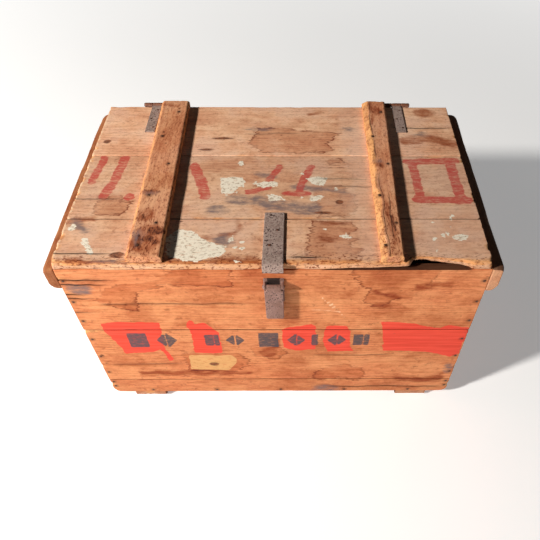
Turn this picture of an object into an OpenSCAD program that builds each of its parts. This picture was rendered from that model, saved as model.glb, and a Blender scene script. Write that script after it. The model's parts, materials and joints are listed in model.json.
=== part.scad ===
// Nailed wooden shipping crate with a hinged lid and an iron hasp.
// Origin: centre of the overall footprint, on the ground. +X is right, +Z is up, the front faces -Y.

/* [Crate body] */
// Outside length of the body, left to right
crate_length = 954; // [800:2:1200]
// Outside depth of the body, front to back
crate_depth = 600; // [480:10:800]
// Height of the walls
wall_height = 525; // [420:5:700]
// Thickness of the wall boards
wall_thickness = 20; // [16:1:25]
// Height of the lower wall boards, as a share of the walls
lower_row_share = 0.13; // [0.1:0.01:0.2]
// Height of the middle wall boards, as a share of the walls
middle_row_share = 0.45; // [0.3:0.01:0.5]
// Gap between neighbouring boards
board_gap = 1.5; // [0.5:0.5:3]
// Radius worn off the bottom corners of the front and back
corner_wear = 22; // [5:1:30]

/* [Floor and runners] */
// Thickness of the floor boards
floor_thickness = 20; // [15:1:25]
// Height of the runners under the floor
runner_height = 25; // [15:1:50]
// Width of each runner
runner_width = 88; // [60:1:110]
// Distance of each runner from the end of the body
runner_inset = 57; // [20:1:100]

/* [End cleats] */
// How far a cleat stands out from the end wall
cleat_depth = 30; // [20:1:35]
// Height of the left cleat
left_cleat_height = 62; // [50:1:80]
// Height of the right cleat
right_cleat_height = 72; // [50:1:80]

/* [Lid] */
// Thickness of the lid boards
lid_thickness = 22; // [18:1:28]
// Depth of the back lid board, as a share of the lid
lid_back_share = 0.375; // [0.3:0.005:0.4]
// Depth of the middle lid board, as a share of the lid
lid_middle_share = 0.395; // [0.3:0.005:0.4]
// How far the lid stops short of the body's right end
lid_right_gap = 5; // [0:1:15]
// Height of the battens across the lid
batten_height = 20; // [12:1:25]
// Width of the left batten
left_batten_width = 80; // [60:1:85]
// Width of the right batten at the back
right_batten_width = 68; // [60:1:75]
// Height of the broken-out part of the lid's front edge
break_height = 17; // [5:1:17]

/* [Hinges] */
// Width of the hinge strap on the lid
strap_width = 27; // [24:1:34]
// Length of the hinge strap on the lid
strap_length = 125; // [80:5:160]
// Thickness of the hinge iron
hinge_iron = 3; // [2:0.5:4]
// Outside diameter of the hinge barrel
barrel_diameter = 11; // [10.5:0.5:13]
// Length of the hinge barrel, and width of the plate on the wall
barrel_length = 72; // [64:1:90]
// Diameter of the hinge pin
hinge_pin_diameter = 6; // [4:0.5:6.5]

/* [Hasp] */
// Width of the strap and of the base plate
hasp_width = 46; // [40:1:50]
// Length of the strap that lies on the lid
hasp_length = 155; // [100:5:180]
// Thickness of the hasp iron
hasp_iron = 4.5; // [3:0.5:5]
// How far the strap runs out past the lid's front edge
hasp_reach = 12; // [10:1:14]
// Length of the drop flap below its pin
flap_length = 113; // [80:1:130]
// Width of the drop flap
flap_width = 42; // [38:1:44]

/* [Nails] */
// Diameter of a nail's shank
nail_diameter = 3; // [2:0.5:4]
// Diameter of a nail's head
nail_head_diameter = 7; // [6:0.5:9]
// Length of the nails that hold the wall boards
wall_nail_length = 50; // [40:1:60]

/* [Hidden] */
$fn = 48;
LOWER = 0;
MIDDLE = 1;
UPPER = 2;
LEFT = -1;
RIGHT = 1;
FACING_UP = [0, 0, 0];
FACING_DOWN = [180, 0, 0];
FACING_FRONT = [90, 0, 0];
FACING_BACK = [-90, 0, 0];
FACING_LEFT = [0, -90, 0];
FACING_RIGHT = [0, 90, 0];

half_length = crate_length / 2;
half_depth = crate_depth / 2;
floor_count = 4;
inside_length = crate_length - 2 * wall_thickness;
inside_depth = crate_depth - 2 * wall_thickness;
wall_base = runner_height;
wall_top = wall_base + wall_height;

// Rows of wall boards, from the ground up.
row_shares = [lower_row_share, middle_row_share, 1 - lower_row_share - middle_row_share];
row_starts = [0, lower_row_share, lower_row_share + middle_row_share];
nails_per_row = [2, 3, 3];

// The lid lies just clear of the wall tops and of the hinge plates behind it.
lid_clearance = 1;
lid_base = wall_top + lid_clearance;
lid_top = lid_base + lid_thickness;
lid_back = half_depth - lid_clearance;
lid_depth = lid_back + half_depth;
lid_shares = [1 - lid_middle_share - lid_back_share, lid_middle_share, lid_back_share];
lid_starts = [0, 1 - lid_middle_share - lid_back_share, 1 - lid_back_share];

// Each batten's middle at the lid's back edge and at its front edge, and its width at both.
left_batten_ends = [-0.305 * crate_length, -0.289 * crate_length];
left_batten_widths = [left_batten_width, left_batten_width];
right_batten_left = 0.24 * crate_length;
right_batten_widths = [right_batten_width, 0.75 * right_batten_width];
right_batten_ends = [for (width = right_batten_widths) right_batten_left + width / 2];
batten_bevel = 4;
batten_top = lid_top + batten_height;

// The hinge straps lie outside the battens, the left one close against its batten.
left_strap_gap = 1.4;
right_strap_gap = 19;
left_hinge_x = left_batten_ends[0] - left_batten_width / 2 - left_strap_gap - strap_width / 2;
right_hinge_x = right_batten_left + right_batten_width + right_strap_gap + strap_width / 2;
barrel_radius = barrel_diameter / 2;
barrel_y = half_depth + barrel_radius + lid_clearance;
barrel_z = lid_top + hinge_iron / 2;
knuckle_gap = 0.5;
running_gap = 0.05;
pin_head_thickness = 1.5;
plate_drop = 60;

hasp_x = -2;
hasp_top = lid_top + hasp_iron;
tab_height = 25;
hasp_pin_diameter = 5;
hasp_pin_drop = 40;
hasp_pin_y = -half_depth - 13;
hasp_pin_z = wall_top - hasp_pin_drop;
ear_thickness = 6;
ear_radius = 6.5;
base_thickness = 3;
base_start = 25;
base_end = 105;
flap_thickness = 4;
flap_knuckle_radius = 4.75;
flap_neck = 11;
flap_corner = 6;
flap_neck_width = hasp_width - 2 * ear_thickness - 2 * knuckle_gap;

// The body is moved back so that the overall footprint, ears to hinge barrels, is centred on the origin.
centring_shift = (ear_radius - hasp_pin_y - barrel_y - barrel_radius) / 2;

nail_head_thickness = 1.2;
nail_head_proud = 0.4;
small_nail_length = 20;
batten_nail_length = 36;

function row_z(row) = wall_base + row_starts[row] * wall_height;
function row_height(row) = row_shares[row] * wall_height - (row == UPPER ? 0 : board_gap);
function spread(i, count) = (i + 0.5) / count;

module centred() { translate([0, centring_shift, 0]) children(); }
module body_wood() { color([0.82, 0.52, 0.30]) children(); }
module lid_wood() { color([0.74, 0.55, 0.38]) children(); }
module old_iron() { color([0.36, 0.31, 0.30]) children(); }
module nail_iron() { color([0.28, 0.20, 0.17]) children(); }

// A rectangle with its two lower corners rounded.
module worn_foot_outline(width, height, radius) {
    translate([0, radius]) square([width, height - radius]);
    translate([radius, 0]) square([width - 2 * radius, height]);
    translate([radius, radius]) circle(radius);
    translate([width - radius, radius]) circle(radius);
}

// One board of the front wall (side = -1) or of the back wall (side = 1).
module long_wall_board(side, row) {
    y = side > 0 ? half_depth - wall_thickness : -half_depth;
    body_wood() translate([-half_length, y + wall_thickness, row_z(row)]) rotate([90, 0, 0])
        linear_extrude(wall_thickness)
            if (row == LOWER) {
                worn_foot_outline(crate_length, row_height(row), corner_wear);
            } else {
                square([crate_length, row_height(row)]);
            }
}

// One board of an end wall, fitted between the front and the back.
module end_wall_board(side, row) {
    x = side > 0 ? half_length - wall_thickness : -half_length;
    body_wood() translate([x, -inside_depth / 2, row_z(row)])
        cube([wall_thickness, inside_depth, row_height(row)]);
}

module floor_board(index) {
    pitch = inside_depth / floor_count;
    body_wood() translate([-inside_length / 2, -inside_depth / 2 + index * pitch + board_gap / 2, wall_base])
        cube([inside_length, pitch - board_gap, floor_thickness]);
}

module runner(side) {
    chamfer = runner_height / 3;
    x = side * (half_length - runner_inset - runner_width / 2);
    body_wood() translate([x - runner_width / 2, 0, 0]) rotate([90, 0, 90])
        linear_extrude(runner_width)
            polygon([
                [-half_depth + chamfer, 0], [half_depth - chamfer, 0],
                [half_depth, chamfer], [half_depth, runner_height],
                [-half_depth, runner_height], [-half_depth, chamfer]
            ]);
}

// A cleat nailed across an end wall near the top: the hand-hold for lifting.
module end_cleat(side, height) {
    round_edge = cleat_depth / 2;
    body_wood() translate([side * half_length, half_depth, wall_top - height])
        rotate([90, 0, 0]) mirror([side > 0 ? 0 : 1, 0, 0])
            linear_extrude(crate_depth) {
                square([cleat_depth - round_edge, height]);
                translate([0, round_edge]) square([cleat_depth, height - round_edge]);
                translate([cleat_depth - round_edge, round_edge]) circle(round_edge);
            }
}

module lid_board(row) {
    lid_wood() translate([-half_length, -half_depth + lid_starts[row] * lid_depth, lid_base])
        cube([crate_length - lid_right_gap, lid_shares[row] * lid_depth - (row == UPPER ? 0 : board_gap),
              lid_thickness]);
}

// The lid's front board has a piece broken out of its lower front edge, near the right end.
module lid_board_front() {
    slit_start = 0.10 * crate_length;
    break_start = 0.31 * crate_length;
    break_end = 0.45 * crate_length;
    slit_height = break_height / 3;
    lid_wood() difference() {
        lid_board(LOWER);
        translate([0, -half_depth + wall_thickness + board_gap, lid_base]) rotate([90, 0, 0])
            linear_extrude(wall_thickness + 2 * board_gap)
                polygon([
                    [slit_start, -lid_clearance], [slit_start, 0],
                    [break_start, slit_height], [break_start + break_height / 2, break_height],
                    [break_start + 2 * break_height, break_height],
                    [break_end, 0], [break_end, -lid_clearance]
                ]);
    }
}

// A batten's outline, drawn in from its long edges by the inset. Each pair is [at the back, at the front].
module batten_outline(ends, widths, inset) {
    polygon([
        [ends[0] - widths[0] / 2 + inset, lid_back], [ends[0] + widths[0] / 2 - inset, lid_back],
        [ends[1] + widths[1] / 2 - inset, -half_depth], [ends[1] - widths[1] / 2 + inset, -half_depth]
    ]);
}

module lid_batten(ends, widths) {
    lid_wood() translate([0, 0, lid_top]) hull() {
        linear_extrude(batten_height - batten_bevel) batten_outline(ends, widths, 0);
        linear_extrude(batten_height) batten_outline(ends, widths, batten_bevel);
    }
}

// A cylinder along X, centred on x = 0.
module rod(radius, length) {
    rotate([0, 90, 0]) cylinder(r = radius, h = length, center = true);
}

// The lid half of a hinge: a flat strap ending in the middle knuckle.
module hinge_strap(x) {
    strap_front = lid_back - strap_length;
    old_iron() difference() {
        union() {
            translate([x - strap_width / 2, strap_front, lid_top])
                cube([strap_width, barrel_y - strap_front, hinge_iron]);
            translate([x, barrel_y, barrel_z]) rod(barrel_radius, strap_width);
        }
        translate([x, barrel_y, barrel_z])
            rod(hinge_pin_diameter / 2 + running_gap, strap_width + 2);
    }
}

// The wall half of a hinge: a plate on the back wall with two outer knuckles.
module hinge_plate(x) {
    plate_bottom = wall_top - plate_drop;
    middle_gap = strap_width + 2 * knuckle_gap;
    old_iron() difference() {
        union() {
            translate([x - barrel_length / 2, half_depth, plate_bottom])
                cube([barrel_length, hinge_iron, barrel_z - plate_bottom]);
            translate([x, barrel_y, barrel_z]) rod(barrel_radius, barrel_length);
        }
        translate([x - middle_gap / 2, half_depth - 1, barrel_z - 2 * barrel_radius])
            cube([middle_gap, 4 * barrel_radius, 4 * barrel_radius]);
        translate([x, barrel_y, barrel_z])
            rod(hinge_pin_diameter / 2 + running_gap, barrel_length + 2);
    }
}

// A pin along X with a flat head at both ends.
module headed_pin(diameter, length, head_diameter) {
    rod(diameter / 2, length + 2 * pin_head_thickness);
    for (side = [LEFT, RIGHT])
        translate([side * (length + pin_head_thickness + 2 * running_gap) / 2, 0, 0])
            rod(head_diameter / 2, pin_head_thickness);
}

module hinge_pin(x) {
    old_iron() translate([x, barrel_y, barrel_z])
        headed_pin(hinge_pin_diameter, barrel_length, hinge_pin_diameter + 2.5);
}

// The side outline of the hasp strap: flat, then round a bend, then straight down.
module hasp_strap_outline() {
    bend = 2 * hasp_iron;
    translate([bend - hasp_reach, -hasp_iron]) square([hasp_length + hasp_reach - bend, hasp_iron]);
    translate([-hasp_reach, -tab_height]) square([hasp_iron, tab_height - bend]);
    translate([bend - hasp_reach, -bend]) intersection() {
        difference() {
            circle(bend);
            circle(bend - hasp_iron);
        }
        translate([-bend, 0]) square(bend);
    }
}

// The lid half of the hasp: a strap whose end turns down in front of the lid.
module hasp_strap() {
    old_iron() translate([hasp_x - hasp_width / 2, -half_depth, hasp_top]) rotate([90, 0, 90])
        linear_extrude(hasp_width) hasp_strap_outline();
}

// The wall half of the hasp: a plate with two ears that carry the flap's pin.
module hasp_base() {
    ear_reach = -half_depth - hasp_pin_y - base_thickness / 2;
    old_iron() {
        translate([hasp_x - hasp_width / 2, -half_depth - base_thickness, wall_top - base_end])
            cube([hasp_width, base_thickness, base_end - base_start]);
        for (side = [LEFT, RIGHT])
            translate([hasp_x + side * (hasp_width - ear_thickness) / 2, hasp_pin_y, hasp_pin_z])
                difference() {
                    union() {
                        rod(ear_radius, ear_thickness);
                        translate([-ear_thickness / 2, 0, -ear_radius])
                            cube([ear_thickness, ear_reach, 2 * ear_radius]);
                    }
                    rod(hasp_pin_diameter / 2 + running_gap, ear_thickness + 2);
                }
    }
}

// The flap hangs from its pin and swings outwards and up.
module hasp_flap() {
    old_iron() translate([hasp_x, hasp_pin_y, hasp_pin_z]) difference() {
        union() {
            rod(flap_knuckle_radius, flap_neck_width);
            translate([-flap_neck_width / 2, -flap_knuckle_radius, -flap_neck])
                cube([flap_neck_width, flap_thickness, flap_neck]);
            translate([-flap_width / 2, flap_thickness - flap_knuckle_radius, -flap_length])
                rotate([90, 0, 0]) linear_extrude(flap_thickness)
                    worn_foot_outline(flap_width, flap_length - flap_neck, flap_corner);
        }
        rod(hasp_pin_diameter / 2 + running_gap, flap_width + 2);
    }
}

module hasp_pin() {
    old_iron() translate([hasp_x, hasp_pin_y, hasp_pin_z])
        headed_pin(hasp_pin_diameter, hasp_width, hasp_pin_diameter + 3);
}

// A nail whose head shows at the given point; facing turns the head away from +Z.
module nail_at(point, facing, length) {
    nail_iron() translate(point) rotate(facing) {
        translate([0, 0, -length]) cylinder(d = nail_diameter, h = length);
        translate([0, 0, nail_head_proud - nail_head_thickness])
            cylinder(d = nail_head_diameter, h = nail_head_thickness);
    }
}

// Nails through a long wall: into both end walls, and along the bottom into the floor.
module long_wall_nails(side) {
    facing = side > 0 ? FACING_BACK : FACING_FRONT;
    y = side * half_depth;
    bottom_count = 5;
    floor_z = wall_base + floor_thickness / 2;
    for (end = [LEFT, RIGHT], row = [LOWER, MIDDLE, UPPER], i = [0 : nails_per_row[row] - 1]) {
        x = end * (half_length - wall_thickness / 2);
        lift = row == LOWER ? corner_wear : 0;
        z = row_z(row) + lift + (row_height(row) - lift) * spread(i, nails_per_row[row]);
        nail_at([x, y, z], facing, wall_nail_length);
    }
    for (i = [0 : bottom_count - 1])
        nail_at([inside_length * (spread(i, bottom_count) - 0.5), y, floor_z], facing, wall_nail_length);
}

// Nails through the lower end boards into the ends of the floor boards.
module end_nails() {
    for (side = [LEFT, RIGHT], i = [0 : floor_count - 1])
        nail_at([side * half_length, inside_depth * (spread(i, floor_count) - 0.5),
                 wall_base + floor_thickness / 2],
                side > 0 ? FACING_RIGHT : FACING_LEFT, wall_nail_length);
}

// Nails up through the runners into the floor boards, with their heads sunk clear of the ground.
module runner_nails() {
    sunk = 2;
    for (side = [LEFT, RIGHT], across = [LEFT, RIGHT], i = [0 : floor_count - 1])
        nail_at([side * (half_length - runner_inset - runner_width / 2) + across * runner_width / 4,
                 inside_depth * (spread(i, floor_count) - 0.5), sunk],
                FACING_DOWN, runner_height + floor_thickness * 0.8 - sunk);
}

module cleat_nails() {
    count = 6;
    for (side = [LEFT, RIGHT], i = [0 : count - 1]) {
        z = wall_top - left_cleat_height * (i % 2 == 0 ? 0.3 : 0.6);
        nail_at([side * (half_length + cleat_depth), inside_depth * (spread(i, count) - 0.5), z],
                side > 0 ? FACING_RIGHT : FACING_LEFT, cleat_depth + wall_thickness * 0.8);
    }
}

// Two nails through each batten into each lid board.
module batten_nails() {
    inset = 15;
    for (ends = [left_batten_ends, right_batten_ends], row = [LOWER, MIDDLE, UPPER], side = [LEFT, RIGHT]) {
        forward = 1 - lid_starts[row] - lid_shares[row] * (side == LEFT ? 0.25 : 0.75);
        middle = ends[0] + (ends[1] - ends[0]) * forward;
        nail_at([middle + side * inset, lid_back - forward * lid_depth, batten_top],
                FACING_UP, batten_nail_length);
    }
}

module hinge_strap_nails() {
    for (x = [left_hinge_x, right_hinge_x], i = [0 : 2])
        nail_at([x + (i % 2 == 0 ? 6 : -6), lid_back - strap_length * spread(i, 3), lid_top + hinge_iron],
                FACING_UP, small_nail_length);
}

module hinge_plate_nails() {
    for (x = [left_hinge_x, right_hinge_x], across = [LEFT, RIGHT], up = [0.3, 0.7])
        nail_at([x + across * barrel_length / 3, half_depth + hinge_iron, wall_top - plate_drop * up],
                FACING_BACK, small_nail_length);
}

module hasp_strap_nails() {
    first = 10;
    pitch = 0.31 * hasp_length;
    for (i = [0 : 2])
        nail_at([hasp_x + (i % 2 == 0 ? -8 : 8), -half_depth + hasp_length - first - i * pitch, hasp_top],
                FACING_UP, small_nail_length);
}

module hasp_base_nails() {
    for (across = [LEFT, RIGHT])
        nail_at([hasp_x + across * hasp_width / 4, -half_depth - base_thickness,
                 wall_top - base_end + hasp_width / 4],
                FACING_FRONT, small_nail_length);
}

centred() long_wall_board(-1, LOWER);  // front_board_lower
centred() long_wall_board(-1, MIDDLE);  // front_board_middle
centred() long_wall_board(-1, UPPER);  // front_board_upper
centred() long_wall_board(1, LOWER);  // back_board_lower
centred() long_wall_board(1, MIDDLE);  // back_board_middle
centred() long_wall_board(1, UPPER);  // back_board_upper
centred() end_wall_board(LEFT, LOWER);  // left_end_board_lower
centred() end_wall_board(LEFT, MIDDLE);  // left_end_board_middle
centred() end_wall_board(LEFT, UPPER);  // left_end_board_upper
centred() end_wall_board(RIGHT, LOWER);  // right_end_board_lower
centred() end_wall_board(RIGHT, MIDDLE);  // right_end_board_middle
centred() end_wall_board(RIGHT, UPPER);  // right_end_board_upper
centred() floor_board(0);  // floor_board_1
centred() floor_board(1);  // floor_board_2
centred() floor_board(2);  // floor_board_3
centred() floor_board(3);  // floor_board_4
centred() runner(LEFT);  // left_runner
centred() runner(RIGHT);  // right_runner
centred() end_cleat(LEFT, left_cleat_height);  // left_end_cleat
centred() end_cleat(RIGHT, right_cleat_height);  // right_end_cleat
centred() lid_board_front();
centred() lid_board(MIDDLE);  // lid_board_middle
centred() lid_board(UPPER);  // lid_board_back
centred() lid_batten(left_batten_ends, left_batten_widths);  // left_lid_batten
centred() lid_batten(right_batten_ends, right_batten_widths);  // right_lid_batten
centred() hinge_strap(left_hinge_x);  // left_hinge_strap
centred() hinge_plate(left_hinge_x);  // left_hinge_plate
centred() hinge_pin(left_hinge_x);  // left_hinge_pin
centred() hinge_strap(right_hinge_x);  // right_hinge_strap
centred() hinge_plate(right_hinge_x);  // right_hinge_plate
centred() hinge_pin(right_hinge_x);  // right_hinge_pin
centred() hasp_strap();
centred() hasp_base();
centred() hasp_flap();
centred() hasp_pin();
centred() long_wall_nails(-1);  // front_nails
centred() long_wall_nails(1);  // back_nails
centred() end_nails();
centred() runner_nails();
centred() cleat_nails();
centred() batten_nails();
centred() hinge_strap_nails();
centred() hinge_plate_nails();
centred() hasp_strap_nails();
centred() hasp_base_nails();
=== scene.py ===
import json
import math
from collections import namedtuple
from dataclasses import dataclass, field

import bpy
import numpy as np
from mathutils import Matrix, Vector


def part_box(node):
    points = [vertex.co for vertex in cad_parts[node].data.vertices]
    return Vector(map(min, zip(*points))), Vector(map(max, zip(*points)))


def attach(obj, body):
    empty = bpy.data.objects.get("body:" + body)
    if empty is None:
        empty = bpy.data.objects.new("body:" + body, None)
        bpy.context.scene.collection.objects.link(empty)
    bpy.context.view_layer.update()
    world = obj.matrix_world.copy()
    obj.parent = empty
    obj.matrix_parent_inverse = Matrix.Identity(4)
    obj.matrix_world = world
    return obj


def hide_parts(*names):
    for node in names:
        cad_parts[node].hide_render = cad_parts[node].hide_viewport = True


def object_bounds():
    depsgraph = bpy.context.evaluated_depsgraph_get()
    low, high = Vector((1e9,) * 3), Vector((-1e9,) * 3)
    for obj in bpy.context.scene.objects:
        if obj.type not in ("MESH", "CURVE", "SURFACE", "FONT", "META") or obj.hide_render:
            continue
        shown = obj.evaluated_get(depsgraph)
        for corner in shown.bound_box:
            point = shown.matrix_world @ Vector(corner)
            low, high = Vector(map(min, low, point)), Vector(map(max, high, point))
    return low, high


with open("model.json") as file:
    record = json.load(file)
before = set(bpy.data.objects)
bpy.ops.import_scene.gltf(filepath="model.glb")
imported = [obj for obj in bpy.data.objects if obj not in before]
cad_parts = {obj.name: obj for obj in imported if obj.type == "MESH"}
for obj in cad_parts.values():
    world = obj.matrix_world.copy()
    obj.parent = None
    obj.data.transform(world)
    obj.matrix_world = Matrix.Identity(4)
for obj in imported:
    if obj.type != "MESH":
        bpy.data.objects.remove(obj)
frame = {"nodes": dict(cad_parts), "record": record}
cad_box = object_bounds()

MM = 0.001
X, Y, Z = 0, 1, 2
LOW, HIGH = -1, 1
BEFORE, BEYOND = -1000, 1000  # millimetres, for a crack that runs off a board's end


# ---------------------------------------------------------------------------
# Repeatable noise
# ---------------------------------------------------------------------------

def cell_values(cells, seed):
    """A fixed number from 0 to 1 for each whole-number cell."""
    n = cells.astype(np.int64)
    h = (n[:, 0] * 73856093) ^ (n[:, 1] * 19349663) ^ (n[:, 2] * 83492791) ^ (seed * 40503 + 977)
    h = (h ^ (h >> 13)) * 1274126177
    return ((h ^ (h >> 16)) & 0xFFFFFF) / float(0xFFFFFF)


def noise(points, size, seed):
    """Smooth noise from -1 to 1. size is the length of its features along each axis, in metres."""
    q = points / np.asarray(size, float)
    base = np.floor(q)
    t = q - base
    t = t * t * (3 - 2 * t)
    total = np.zeros(len(points))
    for corner in range(8):
        step = np.array([corner & 1, corner >> 1 & 1, corner >> 2 & 1])
        weight = np.prod(np.where(step, t, 1 - t), axis=1)
        total += weight * cell_values(base + step, seed)
    return 2 * total - 1


def layered_noise(points, size, seed, layers=3):
    """Noise with finer layers added, from about -1 to 1."""
    total = np.zeros(len(points))
    weight = 0
    for k in range(layers):
        total += noise(points * 2 ** k, size, seed + 31 * k) / 2 ** k
        weight += 1 / 2 ** k
    return total / weight


def smooth_ramp(values, low, high):
    """0 below low, 1 above high, and an even curve between them."""
    t = np.clip((values - low) / (high - low), 0, 1)
    return t * t * (3 - 2 * t)


# ---------------------------------------------------------------------------
# Marks: outlines on a face, in millimetres from its left and upper edges
# ---------------------------------------------------------------------------

MARK_EDGE = 20


def from_segment(q, start, end):
    """Each point's distance from a straight line between two points."""
    edge = end - start
    reach = q - start
    share = np.clip(reach @ edge / (edge @ edge), 0, 1)
    return np.linalg.norm(reach - share[:, None] * edge, axis=1)


def patch(*corners):
    """A filled outline."""
    outline = np.array(corners, float)

    def distance(q):
        nearest = np.full(len(q), 1e6)
        inside = np.zeros(len(q), bool)
        for start, end in zip(outline, np.roll(outline, -1, axis=0)):
            nearest = np.minimum(nearest, from_segment(q, start, end))
            straddles = (start[1] > q[:, 1]) != (end[1] > q[:, 1])
            width, rise = end - start
            inside ^= straddles & (q[:, 0] < width * (q[:, 1] - start[1]) / (rise or 1) + start[0])
        return np.where(inside, -nearest, nearest)

    return distance


def stroke(width, *path):
    """A brush stroke of one width along a path."""
    points = np.array(path, float)

    def distance(q):
        return np.min([from_segment(q, *ends) for ends in zip(points[:-1], points[1:])], axis=0) - width / 2

    return distance


def blot(a, b, half_width, half_height):
    """An upright or lying oval."""
    half = np.array([half_width, half_height], float)

    def distance(q):
        return (np.linalg.norm((q - np.array([a, b])) / half, axis=1) - 1) * half.min()

    return distance


def bar(left, top, width, height):
    """An upright rectangle."""
    return patch((left, top), (left + width, top), (left + width, top + height), (left, top + height))


def flecks(seed, count, near_corner, far_corner):
    """Small paint drips scattered over a rectangle."""
    rng = np.random.default_rng(seed)
    places = rng.uniform(near_corner, far_corner, (count, 2))
    return [blot(*place, *size) for place, size in zip(places, rng.uniform(2, 6.5, (count, 2)))]


def mark_field(q, shapes, ragged, seed):
    """How deep each point is inside the shapes, plus MARK_EDGE, from 0 to twice MARK_EDGE, in metres."""
    sheet = np.column_stack([q * MM, np.zeros(len(q))])
    shifted = q + ragged * np.column_stack([
        layered_noise(sheet, (0.030, 0.010, 1), seed),
        layered_noise(sheet, (0.024, 0.012, 1), seed + 7),
    ])
    nearest = np.full(len(q), 1e6)
    for shape in shapes:
        nearest = np.minimum(nearest, shape(shifted))
    return np.clip(MARK_EDGE - nearest, 0, 2 * MARK_EDGE) * MM


# ---------------------------------------------------------------------------
# Plank meshes
# ---------------------------------------------------------------------------

EDGE_TICKS = np.array([0, 0.7, 1.6, 3.0, 5.0, 8.0]) * MM
Crack = namedtuple("Crack", "place start end depth width")


def ticks(low, high, step, extra=()):
    """Places from low to high about a step apart, closer together at both ends and at the extra places."""
    rim = EDGE_TICKS[EDGE_TICKS < (high - low) * 0.42]
    start, stop = low + rim[-1], high - rim[-1]
    middle = np.linspace(start, stop, max(2, int(round((stop - start) / step)) + 1))
    plain = np.concatenate([low + rim, middle, high - rim])
    extra = np.array([e for e in extra if low < e < high])
    if len(extra):
        crowded = np.abs(plain[:, None] - extra[None, :]).min(axis=1) < 0.8 * MM
        crowded &= (plain > low) & (plain < high)
        plain = plain[~crowded]
    return np.unique(np.round(np.concatenate([plain, extra]), 6))


def lattice_skin(places):
    """The skin of a box lattice: its points, which side of each axis they lie on, and its faces."""
    shape = [len(p) for p in places]
    cell = np.indices(shape).reshape(3, -1).T
    last = np.array(shape) - 1
    sides = (cell == last).astype(int) - (cell == 0).astype(int)
    on_skin = np.any(sides != 0, axis=1)
    number = np.full(len(cell), -1)
    number[on_skin] = np.arange(on_skin.sum())
    number = number.reshape(shape)
    cell = cell[on_skin]
    points = np.column_stack([places[axis][cell[:, axis]] for axis in (X, Y, Z)])
    faces = []
    for axis in (X, Y, Z):
        for end in (0, -1):
            sheet = np.take(number, end, axis=axis)
            ring = [sheet[:-1, :-1], sheet[1:, :-1], sheet[1:, 1:], sheet[:-1, 1:]]
            if (end == 0) != (axis == Y):
                ring.reverse()
            faces.append(np.column_stack([part.ravel() for part in ring]))
    return points, sides[on_skin], np.concatenate(faces)


def build_piece(name, points, faces, body, material, node, fields=()):
    """A mesh object with its point fields and its material, attached to its body in place of the CAD part,
    which it hides.
    """
    mesh = bpy.data.meshes.new(name)
    mesh.from_pydata(np.asarray(points).tolist(), [], faces)
    mesh.polygons.foreach_set("use_smooth", np.ones(len(mesh.polygons), bool))
    for label, values in dict(fields).items():
        kind, key = ("FLOAT_VECTOR", "vector") if values.ndim == 2 else ("FLOAT", "value")
        layer = mesh.attributes.new(label, kind, "POINT")
        layer.data.foreach_set(key, values.astype(np.float32).ravel())
    mesh.materials.append(material)
    mesh.update()
    piece = bpy.data.objects.new(name, mesh)
    bpy.context.scene.collection.objects.link(piece)
    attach(piece, body)
    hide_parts(node)


def rounded(points, low, high, radius):
    """Pulls the skin of a box in to a rounded box. radius is one number for each point."""
    radius = radius[:, None]
    core = np.clip(points, low + radius, high - radius)
    arm = points - core
    length = np.linalg.norm(arm, axis=1, keepdims=True)
    return core + arm * np.where(length > 0, radius / np.maximum(length, 1e-9), 0)


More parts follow.
